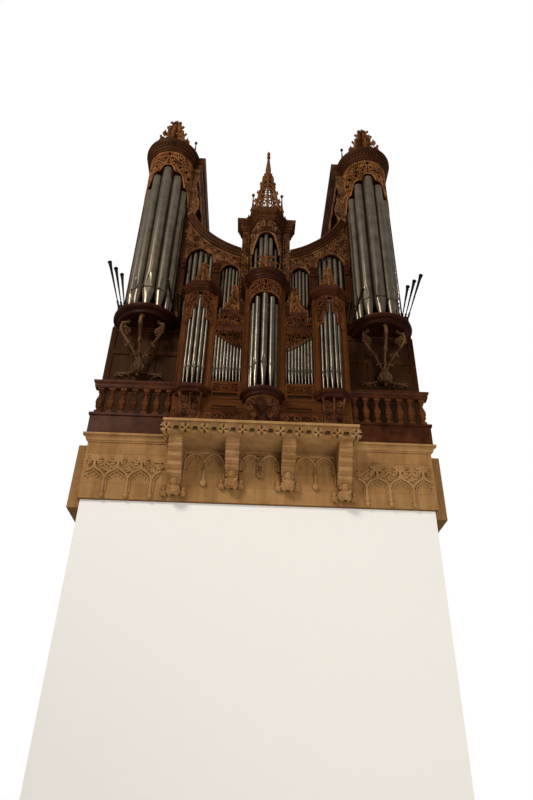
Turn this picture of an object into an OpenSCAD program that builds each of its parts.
// Pipe organ on its stone gallery: main case with two round towers,
// chair case on the balcony, horizontal trumpets. Millimetres.

/* [Stone gallery] */
// width of the gallery behind the front wall
band_w = 7080; // [6900:10:7600]
// width of the front wall
front_w = 6500; // [6300:10:6800]
// height of the stone band
band_h = 1300; // [1200:10:1500]
// front face of the stone band
band_front = -1000; // [-1200:10:-900]
// rear face of the stone band
band_back = 2900; // [2400:10:3200]
// thickness of the front wall, which also carries the case front
front_wall_t = 1150; // [1050:10:1300]
// depth of the narrow part of the front wall
front_step = 450; // [300:10:600]
// thickness of side and rear walls
side_wall_t = 400; // [300:10:600]
// thickness of the gallery floor
floor_t = 300; // [260:10:400]
// height of the string course
string_h = 160; // [120:10:240]
// how far the string course stands out
string_out = 100; // [60:5:200]
// width of the balcony
balcony_w = 3340; // [3300:10:3500]
// how far the balcony stands out
balcony_out = 620; // [500:10:800]
// height of the balcony slab and its cornice
balcony_h = 250; // [220:5:290]
// how far the cornice stands out from the slab
balcony_lip = 110; // [60:5:180]
// number of foliage bosses on the cornice
boss_n = 11; // [7:1:15]
// size across one foliage boss
boss_d = 170; // [120:5:200]
// corbels: distance of the inner pair from the axis
corbel_x1 = 512; // [480:1:560]
// corbels: distance of the outer pair from the axis
corbel_x2 = 1542; // [1500:1:1560]
// width of a corbel
corbel_w = 240; // [180:5:260]
// height of the inner corbels
corbel_h1 = 780; // [600:10:860]
// height of the outer corbels
corbel_h2 = 1020; // [800:10:1030]
// spacing of the blind arches beside the balcony
side_arch_w = 430; // [380:5:440]
// width of the blind arches between the corbels
mid_arch_w = 360; // [320:5:370]
// thickness of the blind tracery
tracery_t = 60; // [30:5:90]

/* [Wooden gallery front] */
// height of the plinth board
plinth_h = 456; // [300:4:500]
// thickness of the plinth board
plinth_t = 120; // [80:5:160]
// height of the balusters
baluster_h = 588; // [480:4:700]
// width of a baluster
baluster_w = 130; // [90:5:150]
// balusters on each side
baluster_n = 7; // [5:1:8]
// height of the hand rail
rail_h = 156; // [100:4:220]
// outer end of the wooden front from the axis
parapet_x = 3300; // [3200:10:3400]

/* [Chair case] */
// front plane of the chair case
pos_front = -1300; // [-1400:10:-1200]
// depth of the chair case
pos_depth = 560; // [450:10:600]
// side turrets: distance from the axis
pos_side_x = 1375; // [1350:5:1400]
// width of a side turret with its posts
pos_side_w = 710; // [680:10:740]
// width of the centre turret with its posts
pos_mid_w = 860; // [820:10:900]
// width of a post
post_w = 140; // [110:5:160]
// height of the base above the gallery
pos_base_h = 900; // [850:10:950]
// height of the sill under the flat fields
pos_sill_h = 260; // [200:10:300]
// underside of the flat cornices above the gallery
pos_flat_h = 2870; // [2750:10:2950]
// underside of the side turret cornices above the gallery
pos_side_h = 3370; // [3300:10:3550]
// underside of the centre turret cornice above the gallery
pos_mid_h = 3630; // [3500:10:3800]
// radius of the centre turret
pos_mid_r = 360; // [340:5:380]
// diameter of the largest chair pipe
pos_pipe_d = 130; // [110:1:140]

/* [Main case] */
// half width of the lower case
case_x = 3500; // [3450:10:3540]
// depth of the main case
case_depth = 2600; // [2200:10:2800]
// height of the lower case above the gallery
lower_h = 3460; // [3300:10:3600]
// thickness of the case boards
board_t = 50; // [30:1:60]
// tower distance from the axis
tower_x = 2740; // [2700:5:2780]
// tower radius
tower_r = 610; // [590:5:650]
// how far the tower platform stands out
platform_out = 160; // [120:5:200]
// underside of the tower cornice above the deck
tower_h = 5750; // [5500:10:6100]
// height of the tower cornice
tower_cornice_h = 370; // [300:5:450]
// how far the tower cornice stands out
tower_out = 150; // [120:5:180]
// half width of the straight part of the tower head
head_wing = 785; // [740:5:820]
// diameter of the largest tower pipe
tower_pipe_d = 280; // [240:1:290]
// height of the foot of the tower pipes
tower_foot = 655; // [500:5:800]
// body length of the largest tower pipe
tower_body = 4445; // [4200:5:4600]
// height of the tower crests
crest_h = 1490; // [1100:10:1600]
// underside of the centre turret cornice above the deck
turret_h = 3260; // [3100:10:3500]
// height of the centre turret cornice
turret_cornice_h = 330; // [280:5:400]
// how far the centre turret cornice stands out
turret_out = 150; // [120:5:180]
// height of the spire
spire_h = 3040; // [2700:10:3200]
// radius of the swept cornices between turret and towers
swoop_r = 2285; // [2200:5:2400]
// lowest point of that sweep's circle above the deck
swoop_base = 2388; // [2300:1:2500]
// outermost point of that circle from the axis
swoop_reach = 2136; // [2100:1:2160]
// upper end of that sweep above its lowest point
swoop_rise = 1402; // [1350:1:1500]

/* [Hidden] */
gap = 1;
seat = 0.3;
floor_z = band_h;
case_z = floor_z + lower_h;
deck_h = 120;
deck_z = case_z + deck_h;
tower_top = deck_z + tower_h;
turret_top = deck_z + turret_h;
t225 = tan(22.5);

$fn = 48;

stone = [0.62, 0.52, 0.38];
oak = [0.30, 0.18, 0.09];
oak_dark = [0.20, 0.09, 0.05];
carved = [0.45, 0.28, 0.14];
tin = [0.62, 0.62, 0.58];

// front half of a disc
module half_disc(r) {
  intersection() {
    circle(r);
    translate([-r, -r]) square([2 * r, r]);
  }
}

// plan of a round turret head: half disc in front of a straight block
module towered(r, wing, depth) {
  union() {
    half_disc(r + $o);
    translate([-wing - $o, -$o]) square([2 * (wing + $o), depth + $o]);
  }
}

// plan with a flat front and two corners cut at 45 degrees
function canted(w, c, depth, o) = [
  [-(w + c + o), depth], [-(w + c + o), -o * t225], [-(w + o * t225), -c - o],
  [w + o * t225, -c - o], [w + c + o, -o * t225], [w + c + o, depth]];

// bay of depth d whose sloping sides run out by c, with a wing on each side
function winged(w, c, d, wing, depth, o) = let(k = o * tan(atan(d / c) / 2)) [
  [-(wing + o), depth], [-(wing + o), -o], [-(w + c + k), -o],
  [-(w + k), -d - o], [w + k, -d - o], [w + c + k, -o],
  [wing + o, -o], [wing + o, depth]];

// cornice profile: a list of height share and projection share
cornice_steps = [[0, 0.14], [0.16, 0.24], [0.3, 0.42], [0.48, 0.5], [0.56, 0.74],
  [0.72, 0.86], [0.84, 1.0]];

// moulding built up from steps; the child outline reads $o as its offset
module cornice(h, out) {
  for (i = [0:len(cornice_steps) - 1]) {
    s = cornice_steps[i];
    top = i < len(cornice_steps) - 1 ? cornice_steps[i + 1][0] : 1;
    $o = out * s[1];
    translate([0, 0, h * s[0]]) linear_extrude(h * (top - s[0])) children(0);
  }
}

// plain strip of moulding along X, front face at y
module strip_plan(x0, x1, y, depth) {
  translate([x0, y - $o]) square([x1 - x0, depth + $o]);
}

// upright arch outline over x0 to x1 from z0, with an oval head
arch_steps = 24;

function arch_pts(x0, x1, z0, spring, rise) = concat([[x0, z0], [x1, z0]],
  [for (i = [0:arch_steps]) let(t = 180 * i / arch_steps)
    [(x0 + x1) / 2 + (x1 - x0) / 2 * cos(t), spring + rise * sin(t)]]);

// one flue pipe standing at the origin, mouth to the front
module flue(d, foot, body) {
  lip = d * 0.7;
  difference() {
    union() {
      cylinder(h = foot, d1 = d * 0.28, d2 = d);
      translate([0, 0, foot - gap]) cylinder(h = body + gap, d = d);
    }
    translate([-d * 0.36, -d, foot + d * 0.02]) cube([d * 0.72, d * 0.62, lip * 1.6]);
    translate([-d * 0.36, -d * 0.5, foot + d * 0.02]) cube([d * 0.72, d * 0.34, lip * 0.32]);
  }
}

// one horizontal trumpet, lying along -Y from its block at the origin
module trumpet(len, bell) {
  rotate([90, 0, 0]) {
    cylinder(h = len * 0.16, d = bell * 0.5);
    translate([0, 0, len * 0.16 - gap]) cylinder(h = len * 0.74, d1 = bell * 0.26, d2 = bell * 0.62);
    translate([0, 0, len * 0.88]) cylinder(h = len * 0.12, d1 = bell * 0.6, d2 = bell);
  }
}

// outline of a band of varying width that follows a line of points
function band_pts(p, t) = concat(
  [for (i = [0:len(p) - 1]) let(a = p[max(i - 1, 0)], b = p[min(i + 1, len(p) - 1)],
    d = b - a, n = norm(d), w = t[i] / 2) p[i] + [-d[1], d[0]] / n * w],
  [for (i = [len(p) - 1:-1:0]) let(a = p[max(i - 1, 0)], b = p[min(i + 1, len(p) - 1)],
    d = b - a, n = norm(d), w = t[i] / 2) p[i] - [-d[1], d[0]] / n * w]);

// upright board in the X-Z plane from a flat outline
module upright(thick) {
  rotate([90, 0, 0]) translate([0, 0, -thick / 2]) linear_extrude(thick) children();
}

module mirrored() {
  children();
  mirror([1, 0, 0]) children();
}

// thin half ring, open to the rear
module half_ring(r, t) {
  difference() {
    half_disc(r);
    circle(r - t);
  }
}

// pie slice between two angles measured from the front
function sector(r, a0, a1) = [[0, 0],
  [r * sin(a0), -r * cos(a0)], [r * sin((a0 + a1) / 2), -r * cos((a0 + a1) / 2)] * 1.1,
  [r * sin(a1), -r * cos(a1)]];

// upright leaf-shaped hole that runs out from the axis at an angle
module leaf_hole(a, z, w, h, reach) {
  rotate([0, 0, a]) translate([0, 0, z]) rotate([90, 0, 0]) linear_extrude(reach)
    polygon([[0, -h / 2], [w / 2, -h * 0.1], [w * 0.3, h * 0.25], [0, h / 2],
      [-w * 0.3, h * 0.25], [-w / 2, -h * 0.1]]);
}

// one half of an openwork crest, x outwards from the axis
module crest_half(w, h) {
  difference() {
    polygon([[0, 0], [w, 0], [w * 1.03, h * 0.08], [w * 0.95, h * 0.16], [w * 0.78, h * 0.21],
      [w * 0.88, h * 0.28], [w * 0.82, h * 0.36], [w * 0.6, h * 0.41], [w * 0.52, h * 0.46],
      [w * 0.64, h * 0.52], [w * 0.6, h * 0.6], [w * 0.4, h * 0.65], [w * 0.32, h * 0.69],
      [w * 0.42, h * 0.75], [w * 0.34, h * 0.82], [w * 0.16, h * 0.86], [w * 0.2, h * 0.92], [0, h]]);
    translate([w * 0.75, h * 0.1]) circle(w * 0.17);
    translate([w * 0.32, h * 0.1]) circle(w * 0.18);
    translate([w * 0.58, h * 0.3]) circle(w * 0.17);
    translate([w * 0.2, h * 0.29]) circle(w * 0.12);
    translate([w * 0.35, h * 0.52]) circle(w * 0.15);
    translate([w * 0.2, h * 0.73]) circle(w * 0.09);
  }
}

module stone_front_wall() {
  h = band_h - floor_t;
  color(stone) {
    translate([-front_w / 2, band_front, 0]) cube([front_w, front_wall_t, h]);
    translate([-band_w / 2, band_front + front_step, 0]) cube([band_w, front_wall_t - front_step, h]);
  }
}

module stone_side_walls() {
  color(stone) mirrored()
    translate([band_w / 2 - side_wall_t, band_front + front_wall_t, 0])
      cube([side_wall_t, band_back - band_front - front_wall_t - side_wall_t, band_h - floor_t]);
}

module stone_rear_wall() {
  color(stone) translate([-band_w / 2, band_back - side_wall_t, 0])
    cube([band_w, side_wall_t, band_h - floor_t]);
}

module gallery_floor() {
  depth = band_back - band_front;
  color(stone) translate([0, 0, band_h - floor_t]) {
    translate([-front_w / 2, band_front, 0]) cube([front_w, depth, floor_t]);
    translate([-band_w / 2, band_front + front_step, 0]) cube([band_w, depth - front_step, floor_t]);
  }
}

module string_course() {
  x0 = balcony_w / 2 + balcony_lip + seat;
  color(stone) mirrored()
    translate([0, 0, band_h - string_h])
      cornice(string_h, string_out)
        strip_plan(x0, front_w / 2 + $o, band_front, 0);
}

module balcony_slab() {
  color(stone) translate([0, 0, band_h - balcony_h])
    cornice(balcony_h, balcony_lip)
      translate([-balcony_w / 2 - $o, band_front - balcony_out - $o])
        square([balcony_w + 2 * $o, balcony_out + $o]);
}

// round foliage bosses seated in the hollow of the cornice
boss_side_n = 3;

module balcony_bosses() {
  y = band_front - balcony_out - balcony_lip * 0.5;
  z = band_h - balcony_h * 0.72;
  step = (balcony_w - boss_d * 0.4) / (boss_n - 1);
  side_step = balcony_out / boss_side_n;
  color(stone) {
    for (i = [0:boss_n - 1]) translate([-step * (boss_n - 1) / 2 + i * step, y, z])
      rotate([90, 0, 0]) cylinder(h = boss_d * 0.34, d1 = boss_d * 0.76, d2 = boss_d * 0.5);
    mirrored() for (i = [0:boss_side_n - 1])
      translate([balcony_w / 2 + balcony_lip * 0.5, band_front - side_step * (i + 0.35), z])
        rotate([0, 90, 0]) cylinder(h = boss_d * 0.34, d1 = boss_d * 0.76, d2 = boss_d * 0.5);
  }
}

corbel_top = band_h - balcony_h;
corbel_out = balcony_out - 60;

// side outline of a corbel: stepped courses with rolls, then a carved tail
corbel_side = [[0, 0], [1, 0], [1, 0.1], [0.93, 0.13], [0.93, 0.22], [0.76, 0.26],
  [0.76, 0.38], [0.62, 0.42], [0.62, 0.53], [0.46, 0.57], [0.46, 0.66], [0.36, 0.69],
  [0.42, 0.76], [0.4, 0.88], [0.28, 0.97], [0.16, 1], [0, 1]];

module corbels() {
  color(stone) mirrored() for (c = [[corbel_x1, corbel_h1], [corbel_x2, corbel_h2]])
    translate([c[0] + corbel_w / 2, band_front, corbel_top]) rotate([90, 0, -90])
      linear_extrude(corbel_w) polygon([for (p = corbel_side) [p[0] * corbel_out, -p[1] * c[1]]]);
}

tracery_rib = 40;
side_spring = 560;
// the outermost arch stands partly behind the corner of the wall, the innermost behind the slab
side_shift = 85;
side_arch_n = 4;
shaft_end = 70;
mid_spring = 740;
mid_shaft_end = 400;

// ogee arch head of blind tracery with a leaf at its tip
module ogee_head(w) {
  half = [[0, 0], [w * 0.04, w * 0.16], [w * 0.15, w * 0.31], [w * 0.3, w * 0.42],
    [w * 0.42, w * 0.52], [w * 0.5, w * 0.72]];
  t = [for (p = half) tracery_rib];
  for (s = [0, 1]) translate([w * s, 0]) mirror([s, 0, 0]) polygon(band_pts(half, t));
  translate([w * 0.5, w * 0.74]) circle(w * 0.09);
  for (s = [-1, 1]) translate([w * (0.5 + s * 0.13), w * 0.82]) circle(w * 0.08);
  translate([w * 0.5, w * 0.87]) circle(w * 0.07);
}

module pointed_head(w, t) {
  difference() {
    intersection() {
      translate([-w * 0.25, 0]) circle(w * 0.75 + t / 2);
      translate([w * 0.25, 0]) circle(w * 0.75 + t / 2);
      translate([-w, 0]) square([2 * w, 2 * w]);
    }
    intersection() {
      translate([-w * 0.25, 0]) circle(w * 0.75 - t / 2);
      translate([w * 0.25, 0]) circle(w * 0.75 - t / 2);
      translate([-w, -gap]) square([2 * w, 2 * w]);
    }
  }
}

// slim shaft of blind tracery with a knob at its lower end
module shaft(x, z0, z1) {
  translate([x - tracery_rib / 2, z0]) square([tracery_rib, z1 - z0 + gap]);
  translate([x, z0]) circle(tracery_rib * 1.1);
}

module blind_arcade() {
  x1 = front_w / 2 - tracery_rib;
  x0 = balcony_w / 2 + balcony_lip;
  color(stone) {
    mirrored() translate([0, band_front, 0]) rotate([90, 0, 0]) linear_extrude(tracery_t) {
      intersection() {
        for (i = [1:side_arch_n]) translate([x1 + side_shift - side_arch_w * i, side_spring])
          ogee_head(side_arch_w);
        translate([x0, 0]) square([x1 - x0, band_h]);
      }
      for (i = [1:side_arch_n - 1]) shaft(x1 + side_shift - side_arch_w * i, shaft_end, side_spring);
    }
    for (x = [-(corbel_x1 + corbel_x2) / 2, 0, (corbel_x1 + corbel_x2) / 2])
      translate([x, band_front, 0]) rotate([90, 0, 0]) linear_extrude(tracery_t) {
        for (s = [-1, 1]) translate([s * mid_arch_w / 2, mid_spring]) pointed_head(mid_arch_w, tracery_rib);
        shaft(0, mid_shaft_end, mid_spring);
        for (s = [-1, 1]) translate([s * mid_arch_w - tracery_rib / 2, mid_shaft_end])
          square([tracery_rib, mid_spring - mid_shaft_end + gap]);
      }
  }
}

pos_x = pos_side_x + pos_side_w / 2;
plinth_x0 = pos_x + seat;
rail_back = band_front + 60;
plinth_cap = 50;
plinth_lip = 25;

module parapet_plinths() {
  color(oak_dark) mirrored() {
    translate([plinth_x0, rail_back - plinth_t, floor_z])
      cube([parapet_x - plinth_x0, plinth_t, plinth_h]);
    translate([plinth_x0, rail_back - plinth_t - plinth_lip, floor_z + plinth_h - plinth_cap])
      cube([parapet_x + plinth_lip - plinth_x0, plinth_t + plinth_lip, plinth_cap]);
  }
}

baluster_step = (parapet_x - plinth_x0) / baluster_n;
rail_z = floor_z + plinth_h + baluster_h;

module baluster() {
  w = baluster_w;
  h = baluster_h;
  translate([-w * 0.46, -w * 0.46, 0]) cube([w * 0.92, w * 0.92, h * 0.1]);
  translate([0, 0, h * 0.1 - gap]) cylinder(h = h * 0.08, d1 = w * 0.85, d2 = w * 0.5);
  translate([0, 0, h * 0.17]) cylinder(h = h * 0.2, d1 = w * 0.5, d2 = w);
  translate([-w * 0.44, -w * 0.44, h * 0.36]) cube([w * 0.88, w * 0.88, h * 0.16]);
  translate([0, 0, h * 0.51]) cylinder(h = h * 0.33, d1 = w * 0.9, d2 = w * 0.5);
  translate([0, 0, h * 0.83]) cylinder(h = h * 0.08, d = w * 0.8);
  translate([-w * 0.46, -w * 0.46, h * 0.9]) cube([w * 0.92, w * 0.92, h * 0.1]);
}

module balusters() {
  color(oak) mirrored() for (i = [0:baluster_n - 1])
    translate([plinth_x0 + baluster_step * (i + 0.5), rail_back - plinth_t / 2, floor_z + plinth_h])
      baluster();
}

rail_out = 45;

module hand_rails() {
  color(oak_dark) mirrored() translate([0, 0, rail_z]) cornice(rail_h, rail_out)
    translate([plinth_x0, rail_back - plinth_t - $o])
      square([parapet_x - plinth_x0 + $o, plinth_t + 2 * $o]);
}

pos_base_top = floor_z + pos_base_h;
pos_flat_top = floor_z + pos_flat_h;
pos_side_top = floor_z + pos_side_h;
pos_mid_top = floor_z + pos_mid_h;
pos_mid_half = pos_mid_w / 2;
pos_side_half = pos_side_w / 2;
field_x0 = pos_mid_half;
field_x1 = pos_side_x - pos_side_half;
field_w = field_x1 - field_x0;
case_front = pos_front + post_w;
case_back_y = pos_front + pos_depth;
pos_board = 40;
side_w = 135;
side_c = 180;
mid_cornice_h = 220;
mid_out = 110;
side_cornice_h = 180;
side_out = 110;
// how far the head stands out beside the posts, as a share of its projection in front
eave_share = 0.6;
flat_cornice_h = 100;
flat_rail_h = 140;
flat_frieze_h = 270;
turret_base_h = 150;
turret_base_out = 80;
mid_drop_h = 110;
mid_floor = pos_base_top - mid_drop_h;
band_line = 120;
frieze_t = 25;

// chest below the pipes with frieze panels, and the sills of the flat fields
module chair_base() {
  color(oak) difference() {
    union() {
      translate([-pos_x, pos_front, floor_z]) cube([2 * pos_x, pos_depth, pos_base_h]);
      mirrored() translate([field_x0, pos_front + frieze_t, pos_base_top - gap])
        cube([field_w, post_w - frieze_t, pos_sill_h + gap]);
    }
    translate([-field_x0 + band_line, pos_front - gap, mid_floor])
      cube([2 * (field_x0 - band_line), post_w, mid_drop_h + gap]);
    mirrored() {
      translate([field_x0 + 60, pos_front - gap, floor_z + band_line])
        cube([field_w - 120, frieze_t + gap, pos_base_h * 0.5]);
      translate([field_x0 + 60, pos_front - gap, pos_base_top - band_line])
        cube([field_w - 120, 2 * frieze_t + gap, band_line - 30]);
      translate([field_x0 + 60, pos_front - gap, pos_base_top + 20])
        cube([field_w - 120, 2 * frieze_t + gap, pos_sill_h - 80]);
    }
  }
}

// side outline of a bracket below a turret floor
module bracket_side(h, out) {
  polygon([[0, 0], [0, -h], [out * 0.2, -h], [out * 0.34, -h * 0.86], [out * 0.4, -h * 0.62],
    [out * 0.64, -h * 0.4], [out * 0.72, -h * 0.22], [out, -h * 0.1], [out, 0]]);
}

bracket_h = 560;
bracket_t = 60;
bowl_h = 480;
mask_r = 110;

module chair_brackets() {
  mid_r = pos_mid_r * 0.94;
  z0 = mid_floor - turret_base_h;
  z1 = pos_base_top - turret_base_h;
  color(carved) {
    translate([0, pos_front, z0]) intersection() {
      rotate_extrude() polygon([[0, 0], [mid_r, 0], [mid_r, -bowl_h * 0.16],
        [mid_r * 0.86, -bowl_h * 0.3], [mid_r * 0.8, -bowl_h * 0.52], [mid_r * 0.56, -bowl_h * 0.8],
        [mid_r * 0.5, -bowl_h], [0, -bowl_h]]);
      translate([-2 * mid_r, -2 * mid_r, -2 * bowl_h]) cube([4 * mid_r, 2 * mid_r, 4 * bowl_h]);
    }
    translate([0, pos_front - mid_r * 0.66, z0 - bowl_h * 0.46]) sphere(mask_r);
    mirrored() translate([pos_side_x, pos_front, z1]) for (s = [-1, 0, 1])
      translate([s * side_w, -bracket_t / 2, 0]) rotate([0, 0, -90 + s * 28]) upright(bracket_t)
        difference() {
          bracket_side(bracket_h, side_c * 0.95);
          translate([side_c * 0.42, -bracket_h * 0.22]) circle(side_c * 0.17);
        }
    mirrored() translate([pos_side_x - side_w * 1.5, pos_front - bracket_t, z1 - bracket_h])
      cube([side_w * 3, bracket_t, bracket_h]);
  }
}

// hollow box without a front
module open_box(x0, x1, z0, z1, lid) {
  difference() {
    translate([x0, case_front, z0]) cube([x1 - x0, case_back_y - case_front, z1 - z0]);
    translate([x0 + pos_board, case_front - gap, z0 + (lid ? pos_board : -gap)])
      cube([x1 - x0 - 2 * pos_board, case_back_y - case_front - pos_board + gap,
        z1 - z0 - (lid ? 2 * pos_board : -2 * gap)]);
  }
}

module chair_case() {
  color(oak) {
    open_box(-pos_x, pos_x, pos_base_top, pos_flat_top, true);
    mirrored() open_box(field_x1, pos_x, pos_flat_top - gap, pos_side_top, false);
    open_box(-pos_mid_half, pos_mid_half, pos_flat_top - gap, pos_mid_top, false);
  }
}

module chair_posts() {
  color(oak) mirrored() {
    for (x = [field_x1, pos_x - post_w])
      translate([x, pos_front, pos_base_top]) cube([post_w, post_w, pos_side_h - pos_base_h]);
    translate([pos_mid_half - post_w, pos_front, pos_base_top])
      cube([post_w, post_w, pos_mid_h - pos_base_h]);
  }
}

// turret floors, flat rails and turret heads of the chair case
module chair_cornices() {
  head_depth = pos_depth - side_out / 2;
  color(oak_dark) {
    translate([0, pos_front, pos_mid_top]) cornice(mid_cornice_h, mid_out)
      towered(pos_mid_r, pos_mid_half, head_depth);
    translate([0, pos_front, mid_floor - turret_base_h]) cornice(turret_base_h, turret_base_out)
      half_disc(pos_mid_r + $o);
    mirrored() {
      translate([pos_side_x, pos_front, pos_side_top]) cornice(side_cornice_h, side_out) union() {
        polygon(canted(side_w, side_c, head_depth, $o));
        translate([-pos_side_half - $o * eave_share, 0])
          square([pos_side_w + 2 * $o * eave_share, head_depth]);
      }
      translate([pos_side_x, pos_front, pos_base_top - turret_base_h])
        cornice(turret_base_h, turret_base_out) intersection() {
          polygon(canted(side_w, side_c, side_c, $o));
          translate([-pos_side_w, -pos_side_w]) square([2 * pos_side_w, pos_side_w]);
        }
      translate([0, 0, pos_flat_top]) cornice(flat_cornice_h, turret_base_out / 2)
        strip_plan(field_x0 + mid_out + seat, field_x1 - side_out - seat, pos_front, 2 * post_w);
      translate([field_x0, pos_front + frieze_t, pos_flat_top - flat_frieze_h - flat_rail_h])
        cube([field_w, post_w - frieze_t, flat_rail_h]);
    }
  }
}

// lower edge of a turret frieze: stepped round-headed notches
module notches(half, tops, z0, reach) {
  rotate([90, 0, 0]) linear_extrude(reach) for (i = [0:len(half) - 1])
    polygon(arch_pts(-half[i], half[i], z0 - gap, tops[i] - half[i] * 0.4, half[i] * 0.4));
}

// side turret pipes: distance from the middle, share of the largest, drop below the cornice
side_pos = [[0, 0.73, 120], [100, 0.56, 460], [178, 0.42, 750]];
side_notch = 44;
mid_frieze_h = 680;
mid_arch_rise = 310;
side_frieze_h = 820;
spandrel_drop = 500;

module chair_friezes() {
  spandrel_z = pos_flat_top - flat_frieze_h - flat_rail_h;
  color(carved) {
    translate([0, pos_front, pos_mid_top - mid_frieze_h]) difference() {
      linear_extrude(mid_frieze_h) half_ring(pos_mid_r, frieze_t);
      rotate([90, 0, 0]) linear_extrude(2 * pos_mid_r)
        polygon(arch_pts(-pos_mid_r * 0.93, pos_mid_r * 0.93, -gap, 0, mid_arch_rise));
      for (a = [-60, -30, 0, 30, 60]) leaf_hole(a, mid_frieze_h * 0.76, 90, 200, 2 * pos_mid_r);
    }
    mirrored() {
      translate([pos_side_x, pos_front, pos_side_top - side_frieze_h]) difference() {
        linear_extrude(side_frieze_h) difference() {
          polygon(canted(side_w, side_c, 0, 0));
          polygon(canted(side_w, side_c, gap, -frieze_t));
        }
        notches([for (p = side_pos) p[0] + side_notch], [for (p = side_pos) side_frieze_h - p[2] - 10],
          0, 2 * side_c);
      }
      translate([0, pos_front + frieze_t, 0]) rotate([90, 0, 0]) linear_extrude(frieze_t) {
        difference() {
          polygon([[field_x0, spandrel_z], [field_x0, spandrel_z - spandrel_drop],
            [field_x0 + field_w * 0.25, spandrel_z - spandrel_drop * 0.86],
            [field_x0 + field_w * 0.5, spandrel_z - spandrel_drop * 0.66],
            [field_x0 + field_w * 0.75, spandrel_z - spandrel_drop * 0.44],
            [field_x1, spandrel_z - spandrel_drop * 0.24], [field_x1, spandrel_z]]);
          for (p = [[0.15, 0.24], [0.15, 0.6], [0.45, 0.26], [0.75, 0.2]])
            translate([field_x0 + field_w * p[0], spandrel_z - spandrel_drop * p[1]]) circle(field_w * 0.07);
        }
        difference() {
          translate([field_x0, spandrel_z + flat_rail_h]) square([field_w, flat_frieze_h]);
          for (i = [0:3])
            translate([field_x0 + field_w * (0.14 + 0.24 * i), pos_flat_top - flat_frieze_h / 2])
              circle(field_w * 0.08);
        }
      }
    }
  }
}

mid_crest_w = 410;
mid_crest_h = 830;
side_crest_w = 215;
side_crest_h = 870;
// width of a crest towards front and rear, as a share of its width to the sides
crest_flat = 0.78;
crest_t = 45;
console_h = 790;

module chair_crests() {
  color(carved) {
    translate([0, pos_front - pos_mid_r * 0.35, pos_mid_top + mid_cornice_h]) {
      mirrored() upright(crest_t) crest_half(mid_crest_w, mid_crest_h);
      for (a = [-90, 90]) rotate([0, 0, a])
        upright(crest_t) crest_half(mid_crest_w * crest_flat, mid_crest_h * 0.98);
    }
    mirrored() translate([pos_side_x, pos_front - side_c * 0.3, pos_side_top + side_cornice_h]) {
      mirrored() upright(crest_t) crest_half(side_crest_w, side_crest_h);
      for (a = [-90, 90]) rotate([0, 0, a])
        upright(crest_t) crest_half(side_crest_w * crest_flat, side_crest_h * 0.98);
    }
    mirrored() translate([field_x0 + mid_out + seat, pos_front + post_w / 2, pos_flat_top + flat_cornice_h])
      upright(crest_t) {
        w = field_x1 - side_out - field_x0 - mid_out - 2 * seat;
        h = console_h;
        difference() {
          polygon([[0, 0], [w, 0], [w, h * 0.12], [w * 0.88, h * 0.19], [w * 0.72, h * 0.24],
            [w * 0.52, h * 0.33], [w * 0.42, h * 0.46], [w * 0.44, h * 0.6], [w * 0.54, h * 0.72],
            [w * 0.5, h * 0.86], [w * 0.34, h * 0.95], [w * 0.14, h], [0, h * 0.98]]);
          translate([w * 0.27, h * 0.8]) circle(w * 0.11);
        }
      }
  }
}

mid_angles = [0, 35, 63, 87];
mid_d = [1, 0.88, 0.65, 0.46];
mid_tops = [370, 460, 570, 680];
mid_foot = 600;
side_foot = 460;

module chair_pipes() {
  mid_ring = pos_mid_r - frieze_t - 8 - pos_pipe_d / 2;
  color(tin) {
    for (i = [0:3]) for (s = i == 0 ? [1] : [-1, 1]) let(d = pos_pipe_d * mid_d[i])
      translate([s * sin(mid_angles[i]) * mid_ring, pos_front - cos(mid_angles[i]) * mid_ring,
        mid_floor + seat]) rotate([0, 0, s * mid_angles[i]])
          flue(d, mid_foot, pos_mid_top - mid_tops[i] - mid_floor - mid_foot);
    mirrored() for (i = [0:2]) for (s = i == 0 ? [1] : [-1, 1])
      let(p = side_pos[i], d = pos_pipe_d * p[1], run = min(side_c, side_w + side_c - p[0]))
        translate([pos_side_x + s * p[0], pos_front - run + frieze_t * 1.7 + d / 2, pos_base_top + seat])
          flue(d, side_foot, pos_side_top - p[2] - pos_base_top - side_foot);
  }
}

flat_n = 9;
flat_pipe_d = 50;
flat_foot = 290;

module chair_flat_pipes() {
  z = pos_base_top + pos_sill_h + seat;
  pitch = field_w / flat_n;
  low = pos_flat_top - flat_frieze_h - flat_rail_h - spandrel_drop - z - flat_foot + 40;
  rise = spandrel_drop * 0.74;
  color(tin) mirrored() for (i = [0:flat_n - 1])
    translate([field_x0 + pitch * (i + 0.5), pos_front + frieze_t + flat_pipe_d * 0.7, z])
      flue(flat_pipe_d + i, flat_foot, low + rise * i / (flat_n - 1));
}

// main case
panel_n = 7;
rail_t = 30;
stile_w = 110;
mid_rail_z = 2690;

module lower_case_front() {
  inner = 2 * (case_x - board_t);
  pitch = inner / panel_n;
  color(oak) difference() {
    translate([-case_x, 0, floor_z]) cube([2 * case_x, board_t + rail_t, lower_h]);
    for (i = [0:panel_n - 1]) {
      translate([-inner / 2 + pitch * i + stile_w / 2, -gap, floor_z + stile_w])
        cube([pitch - stile_w, rail_t + gap, mid_rail_z - stile_w]);
      translate([-inner / 2 + pitch * i + stile_w / 2, -gap, floor_z + mid_rail_z + stile_w])
        cube([pitch - stile_w, rail_t + gap, lower_h - mid_rail_z - 2 * stile_w]);
    }
  }
}

module lower_case_sides() {
  color(oak) mirrored() translate([case_x - board_t, board_t + rail_t, floor_z])
    cube([board_t, case_depth - 2 * board_t - rail_t, lower_h]);
}

module case_back() {
  color(oak) translate([-case_x, case_depth - board_t, floor_z])
    cube([2 * case_x, board_t, lower_h]);
}

deck_x = tower_x - tower_r;
platform_r = tower_r + platform_out;

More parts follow.
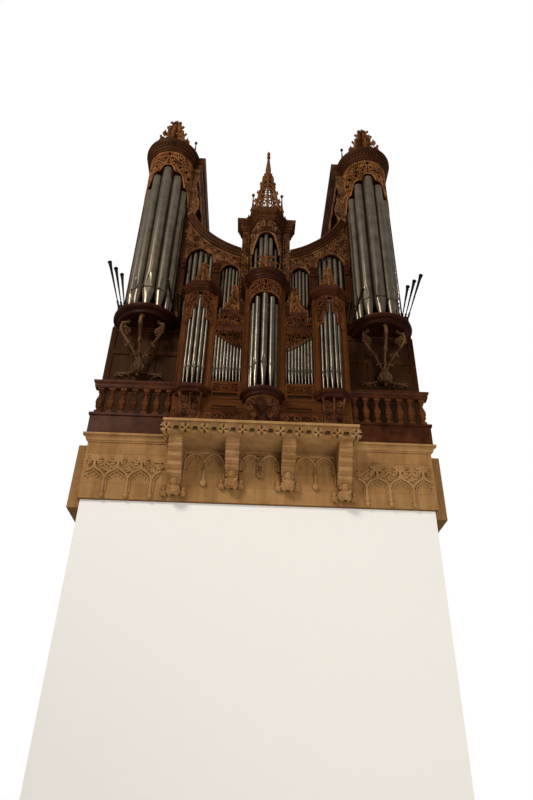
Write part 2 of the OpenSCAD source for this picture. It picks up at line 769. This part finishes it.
// deck board and moulding that carries flats and towers
module case_cornice() {
  x = tower_x - platform_r - seat;
  color(oak_dark) {
    translate([-case_x, 0, case_z]) cube([2 * case_x, case_depth, deck_h]);
    translate([0, 0, case_z]) cornice(deck_h, platform_out * 0.6) strip_plan(-x, x, 0, 0);
  }
}

platform_drop = 60;

module tower_platforms() {
  color(oak_dark) mirrored() translate([tower_x, 0, case_z - platform_drop])
    cornice(deck_h + platform_drop, platform_out) half_disc(tower_r + $o);
}

rib_top = case_z - platform_drop;
rib_h = 1200;
rib_t = 56;
boss_r = 150;
boss_z = rib_top - rib_h;
// centre line of a rib in its own radial plane: x outwards, y up
rib_line = [[60, 180], [110, 300], [180, 420], [270, 540], [370, 650], [470, 770],
  [535, 900], [530, 1020], [460, 1100], [400, 1140], [380, 1200]];
rib_w = [50, 44, 44, 48, 56, 70, 86, 88, 80, 80, 96];
ball_r = 48;
ball_at = [300, 585];
ring_r = 100;
ring_hole_r = 58;
ring_at = [390, 900];

module rib() {
  upright(rib_t) {
    intersection() {
      polygon(band_pts(rib_line, rib_w));
      square([2 * boss_r + rib_h, rib_h]);
    }
    translate(ring_at) difference() {
      circle(ring_r, $fn = 12);
      circle(ring_hole_r, $fn = 12);
    }
  }
  translate([ball_at[0], 0, ball_at[1]]) sphere(ball_r);
}

module tower_brackets() {
  color(carved) mirrored() translate([tower_x, 0, 0]) {
    translate([0, -boss_r, boss_z]) {
      rotate_extrude() polygon([[0, -210], [34, -205], [52, -150], [112, -104], [boss_r * 0.9, -30],
        [boss_r, 20], [boss_r * 0.94, 60], [boss_r * 0.8, 80], [boss_r * 0.8, 140],
        [boss_r * 0.55, 220], [0, 230]]);
      for (a = [-62, 0, 62]) rotate([0, 0, a - 90]) rib();
    }
    mirrored() translate([110, -rib_t / 2, boss_z - 30]) upright(rib_t)
      polygon(band_pts([[-70, 20], [60, -10], [180, -50], [310, -60], [420, -130]], [70, 56, 52, 66, 40]));
  }
}

wall_h = tower_top - deck_z;

module tower_walls() {
  color(oak) mirrored() {
    for (x = [tower_x - tower_r, tower_x + tower_r - board_t])
      translate([x, 0, deck_z]) cube([board_t, case_depth - board_t, wall_h]);
    translate([tower_x - tower_r, case_depth - board_t, deck_z]) cube([2 * tower_r, board_t, wall_h]);
  }
}

tower_angles = [0, 36, 66, 90];
tower_d = [1, 0.88, 0.74, 0.58];
tower_drop = [0, 250, 640, 900];
frieze_r = tower_r - 10;

module tower_pipes() {
  color(tin) mirrored() for (i = [0:3]) for (s = i == 0 ? [1] : [-1, 1])
    let(d = tower_pipe_d * tower_d[i],
      ring = (i < 3 ? frieze_r - frieze_t - 1 : tower_r - board_t - 14) - d / 2)
      translate([tower_x + s * sin(tower_angles[i]) * ring, -cos(tower_angles[i]) * ring, deck_z + seat])
        rotate([0, 0, s * tower_angles[i]]) flue(d, tower_foot, tower_body - tower_drop[i]);
}

// height of the frieze above the top of the largest pipe, and how far its lobes hang down
frieze_up = tower_top - deck_z - tower_foot - tower_body;
lobe = [80, 330, 760, 1000];

module tower_friezes() {
  z0 = tower_top - frieze_up - lobe[3];
  h = frieze_up + lobe[3];
  reach = 1.3 * frieze_r;
  color(carved) mirrored() translate([tower_x, 0, z0]) difference() {
    linear_extrude(h) half_ring(frieze_r, frieze_t);
    for (c = [[-17, 17, 0], [-50, -17, 1], [17, 50, 1], [-79, -50, 2], [50, 79, 2]]) {
      translate([0, 0, -gap]) linear_extrude(lobe[3] - lobe[c[2]] - 140 + gap)
        polygon(sector(reach, c[0], c[1]));
      rotate([0, 0, (c[0] + c[1]) / 2]) rotate([90, 0, 0]) linear_extrude(reach)
        polygon(arch_pts(-frieze_r * 0.25, frieze_r * 0.25, lobe[3] - lobe[c[2]] - 240,
          lobe[3] - lobe[c[2]] - 160, 160));
    }
    for (a = [-65, -39, -13, 13, 39, 65]) leaf_hole(a, h - 300, 150, 360, reach);
  }
}

side_frieze_n = 5;
side_frieze_t = 30;
side_drop = 420;

// pierced frieze with a scalloped lower edge, below the side run of each tower head
module tower_side_friezes() {
  len = case_depth - 2 * board_t;
  pitch = len / side_frieze_n;
  color(carved) mirrored()
    translate([tower_x - head_wing, board_t, tower_top - side_drop]) rotate([90, 0, 90])
      linear_extrude(side_frieze_t) difference() {
        square([len, side_drop]);
        for (i = [0:side_frieze_n]) translate([pitch * i, 0]) circle(pitch * 0.36);
        for (i = [0:side_frieze_n - 1])
          translate([pitch * (i + 0.5), side_drop * 0.62]) circle(pitch * 0.17);
      }
}

// the head is a half disc with a straight run behind it, wider towards the axis
module tower_cornices() {
  color(oak_dark) mirrored() translate([tower_x, 0, tower_top])
    cornice(tower_cornice_h, tower_out) {
      union() {
        half_disc(tower_r + $o);
        translate([-head_wing - $o, -$o]) square([head_wing + tower_r + 2 * $o, case_depth + $o]);
      }
    }
}

crest_r = 540;
crest_y = 340;
crest_n = 8;

module tower_crests() {
  color(carved) mirrored() translate([tower_x, -crest_y, tower_top + tower_cornice_h])
    for (i = [0:crest_n - 1]) rotate([0, 0, 360 / crest_n * i])
      upright(crest_t) crest_half(crest_r * (crest_flat + (1 - crest_flat) * abs(cos(360 / crest_n * i))),
        crest_h * (i % 2 == 0 ? 1 : 0.97));
}

swoop_c = [swoop_reach - swoop_r, deck_z + swoop_base + swoop_r];
swoop_end = deck_z + swoop_base + swoop_rise;
capital_h = 120;
wing_t = 60;
wing_out = head_wing - tower_r;

// scalloped consoles beside the towers, on small capitals
module tower_wings() {
  z0 = swoop_end + capital_h;
  h = tower_top - z0;
  w = wing_out;
  edge = [[1, 0], [1.15, 0.06], [1.42, 0.14], [1.48, 0.25], [1.3, 0.33], [1.02, 0.4],
    [1.08, 0.47], [0.95, 0.53], [0.74, 0.6], [0.72, 0.72], [0.9, 0.8], [0.98, 0.9], [1, 1]];
  color(carved) mirrored() translate([tower_x, 0, 0]) {
    translate([-tower_r, wing_t / 2 + seat, z0]) upright(wing_t)
      mirror([1, 0, 0]) polygon(concat([[0, h], [0, 0]], [for (p = edge) [p[0] * w, p[1] * h]]));
    translate([-tower_r - w * 1.1, -wing_t, swoop_end]) cube([w * 1.1, 2 * wing_t, capital_h]);
  }
}

swoop_x1 = deck_x - seat;
frame_t = 60;
swoop_band_h = [45, 95, 160];
swoop_low = deck_z + swoop_base - swoop_band_h[2];
pilaster_w = 120;

module swoop_disc(r) {
  translate(swoop_c) circle(r, $fn = 240);
}

bay_w = 180;
bay_c = 240;
bay_d = 405;
bay_wing = 620;
bay_y = -60;
bay_depth = 320;
bay_t = 50;
swoop_x0 = bay_wing + seat;
inner_spring = 1790;
outer_spring = 2130;
inner_rise = 260;
outer_rise = 460;
inner_foot = 520;
outer_foot = 620;
sill_h = 100;
inner_stile_w = 40;
inner_field_w = 450;
middle_stile_w = 210;
field_in = [swoop_x0 + inner_stile_w, swoop_x0 + inner_stile_w + inner_field_w];
field_out = [field_in[1] + middle_stile_w, swoop_x1 - pilaster_w];
swoop_out = [170, 120, 60];

module flat_frames() {
  color(oak) mirrored() translate([0, frame_t, deck_z]) rotate([90, 0, 0]) {
    linear_extrude(frame_t) difference() {
      square([swoop_x1, swoop_end - deck_z]);
      translate([-gap, -gap]) square([swoop_x0 + gap, swoop_end - deck_z + 2 * gap]);
      translate([0, -deck_z]) swoop_disc(swoop_r + swoop_band_h[2] + seat);
      polygon(arch_pts(field_out[0], field_out[1], sill_h, outer_spring, outer_rise));
      polygon(arch_pts(field_in[0], field_in[1], sill_h, inner_spring, inner_rise));
    }
    translate([0, 0, frame_t - gap]) {
      for (p = [[field_in[1], field_out[0], inner_spring - 80, 110],
        [field_out[1], swoop_x1, outer_spring - 130, 180]]) {
        linear_extrude(40) translate([p[0] + 5, 0]) square([p[1] - p[0] - 5, p[2]]);
        linear_extrude(70) translate([p[0] + 5, p[2] - gap]) square([p[1] - p[0] - 5, p[3] + gap]);
      }
    }
  }
}

module flat_pipes() {
  color(tin) mirrored() for (f = [[field_out, outer_spring + outer_rise, outer_foot],
    [field_in, inner_spring + inner_rise, inner_foot]])
    let(pitch = (f[0][1] - f[0][0]) / 5)
      for (i = [0:4]) translate([f[0][0] + pitch * (i + 0.5), frame_t + pitch * 0.5, deck_z + seat])
        flue(pitch * (0.86 - 0.05 * abs(i - 2)), f[2], f[1] - f[2] - 10 - 60 * abs(i - 2));
}

module swoop_band(r0, r1) {
  intersection() {
    difference() {
      swoop_disc(r1);
      swoop_disc(r0);
    }
    translate([swoop_x0, swoop_low - gap]) square([swoop_x1 - swoop_x0, swoop_end - swoop_low + gap]);
  }
}

module swoop_cornices() {
  b = swoop_band_h;
  color(oak_dark) mirrored() translate([0, frame_t, 0]) rotate([90, 0, 0]) {
    linear_extrude(frame_t + swoop_out[0]) swoop_band(swoop_r, swoop_r + b[0]);
    linear_extrude(frame_t + swoop_out[1]) swoop_band(swoop_r + b[0] - gap, swoop_r + b[1]);
    linear_extrude(frame_t + swoop_out[2]) swoop_band(swoop_r + b[1] - gap, swoop_r + b[2]);
  }
}

roof_z = swoop_low - 3 * board_t;
bay_back = bay_y + bay_depth;

module case_roof() {
  color(oak) translate([-swoop_x1, bay_back + seat, roof_z])
    cube([2 * swoop_x1, case_depth - bay_back - seat, board_t]);
}

module upper_back() {
  color(oak) translate([-swoop_x1, case_depth - board_t, deck_z])
    cube([2 * swoop_x1, board_t, roof_z - deck_z]);
}

bay_arch_x = 340;
bay_spring = 2160;
bay_rise = 625;

module turret_case() {
  h = turret_top - deck_z;
  color(oak) translate([0, bay_y, deck_z]) difference() {
    linear_extrude(h) polygon(winged(bay_w, bay_c, bay_d, bay_wing, bay_depth, 0));
    translate([0, 0, sill_h]) linear_extrude(h - sill_h - bay_t)
      polygon(winged(bay_w, bay_c, bay_d, bay_wing, bay_depth + bay_t + gap, -bay_t));
    rotate([90, 0, 0]) linear_extrude(2 * bay_d)
      polygon(arch_pts(-bay_arch_x, bay_arch_x, sill_h, bay_spring, bay_rise));
  }
}

module turret_cornice() {
  color(oak_dark) translate([0, bay_y, turret_top]) cornice(turret_cornice_h, turret_out)
    polygon(winged(bay_w, bay_c, bay_d, bay_wing, bay_depth, $o));
}

bay_foot = 700;
bay_pipe_up = 90;
bay_pipe_drop = 200;
bay_pipe_in = [105, 125];

module turret_pipes() {
  y = [-bay_d + bay_pipe_in[0], -bay_d + bay_pipe_in[1], -bay_d * 0.25];
  color(tin) for (i = [-2:2])
    translate([i * bay_c * 0.5, bay_y + y[abs(i)], deck_z + sill_h + seat])
      flue(bay_c * (0.5 - abs(i) * 0.06), bay_foot,
        bay_spring + bay_rise - sill_h - bay_foot + bay_pipe_up - abs(i) * bay_pipe_drop);
}

spire_z = turret_top + turret_cornice_h;
spire_r = 500;
spire_n = 8;
spire_y = 100;
// outer edge of a spire rib: radius share and height share
spire_edge = [[1, 0], [1.04, 0.03], [0.9, 0.08], [0.84, 0.13], [0.88, 0.16], [0.74, 0.2],
  [0.66, 0.25], [0.7, 0.28], [0.57, 0.32], [0.52, 0.37], [0.56, 0.4], [0.44, 0.43],
  [0.4, 0.49], [0.43, 0.52], [0.34, 0.55], [0.32, 0.62]];
spire_rib = 0.17;

module spire_board() {
  n = len(spire_edge) - 1;
  polygon(concat([for (p = spire_edge) [p[0] * spire_r, p[1] * spire_h]],
    [for (i = [n:-1:0]) [max(0.06, (1 - 1.45 * spire_edge[i][1]) * 0.94 - spire_rib) * spire_r,
      spire_edge[i][1] * spire_h]]));
}

module spire_ring(z0, h, r, t) {
  translate([0, 0, z0]) difference() {
    cylinder(h = h, r = r, $fn = spire_n);
    translate([0, 0, -gap]) cylinder(h = h + 2 * gap, r = r - t, $fn = spire_n);
  }
}

module spire() {
  h = spire_h;
  r = spire_r;
  color(carved) translate([0, -spire_y, spire_z]) {
    for (i = [0:spire_n - 1]) rotate([0, 0, 360 / spire_n * i]) upright(crest_t) spire_board();
    spire_ring(h * 0.2, h * 0.015, r * 0.72, r * 0.16);
    spire_ring(h * 0.38, h * 0.015, r * 0.52, r * 0.16);
    cylinder(h = h * 0.66, r = r * 0.08);
    translate([0, 0, h * 0.52]) cylinder(h = h * 0.02, r = r * 0.42, $fn = spire_n);
    translate([0, 0, h * 0.6]) cylinder(h = h * 0.03, r = r * 0.38, $fn = spire_n);
    translate([0, 0, h * 0.63 - gap]) cylinder(h = h * 0.29, r1 = r * 0.18, r2 = r * 0.05);
    translate([0, 0, h * 0.92 - gap]) cylinder(h = h * 0.03, r1 = r * 0.05, r2 = r * 0.1);
    translate([0, 0, h * 0.95 - gap]) cylinder(h = h * 0.05 + gap, r1 = r * 0.1, r2 = r * 0.02);
  }
}

module ball_finial(h) {
  cylinder(h = h * 0.06, d = h * 0.15);
  translate([0, 0, h * 0.06 - gap]) cylinder(h = h * 0.86, d1 = h * 0.11, d2 = h * 0.04);
  translate([0, 0, h * 0.94]) sphere(d = h * 0.1);
}

finial_h = 870;

module finials() {
  color(oak_dark) mirrored() {
    translate([bay_w + bay_c - 35, bay_y - bay_d * 0.6, spire_z]) ball_finial(finial_h);
    translate([deck_x + 30, -tower_out * 0.4, tower_top + tower_cornice_h]) ball_finial(finial_h);
  }
}

// base distance from the case side, length and inward lean of each trumpet
outer_bells = [[30, 1500, 1.8], [100, 1320, 3.5], [165, 1140, 6]];
inner_bells = [[70, 1370, -2.6], [134, 1000, 2.7], [194, 950, 4.2]];
bell_d = 95;
outer_bell_z = 470;
inner_bell_z = 65;
chest_w = 148;
chest_h = 570;
chest_d = 300;

module trumpets() {
  color(oak_dark) mirrored() {
    for (b = outer_bells) translate([case_x - b[0], -seat, deck_z + outer_bell_z])
      rotate([0, 0, -b[2]]) trumpet(b[1], bell_d);
    for (b = inner_bells) translate([deck_x - b[0], b[0] < pilaster_w ? -40 : -seat, deck_z + inner_bell_z])
      rotate([0, 0, -b[2]]) trumpet(b[1], bell_d);
    translate([case_x - chest_w, 0, deck_z]) cube([chest_w, chest_d, chest_h]);
  }
}

stone_front_wall();
stone_side_walls();
stone_rear_wall();
gallery_floor();
string_course();
balcony_slab();
balcony_bosses();
corbels();
blind_arcade();
parapet_plinths();
balusters();
hand_rails();
chair_base();
chair_brackets();
chair_case();
chair_posts();
chair_cornices();
chair_friezes();
chair_crests();
chair_pipes();
chair_flat_pipes();
lower_case_front();
lower_case_sides();
case_back();
case_cornice();
tower_platforms();
tower_brackets();
tower_walls();
tower_pipes();
tower_friezes();
tower_side_friezes();
tower_cornices();
tower_crests();
tower_wings();
flat_frames();
flat_pipes();
swoop_cornices();
case_roof();
upper_back();
turret_case();
turret_cornice();
turret_pipes();
spire();
finials();
trumpets();
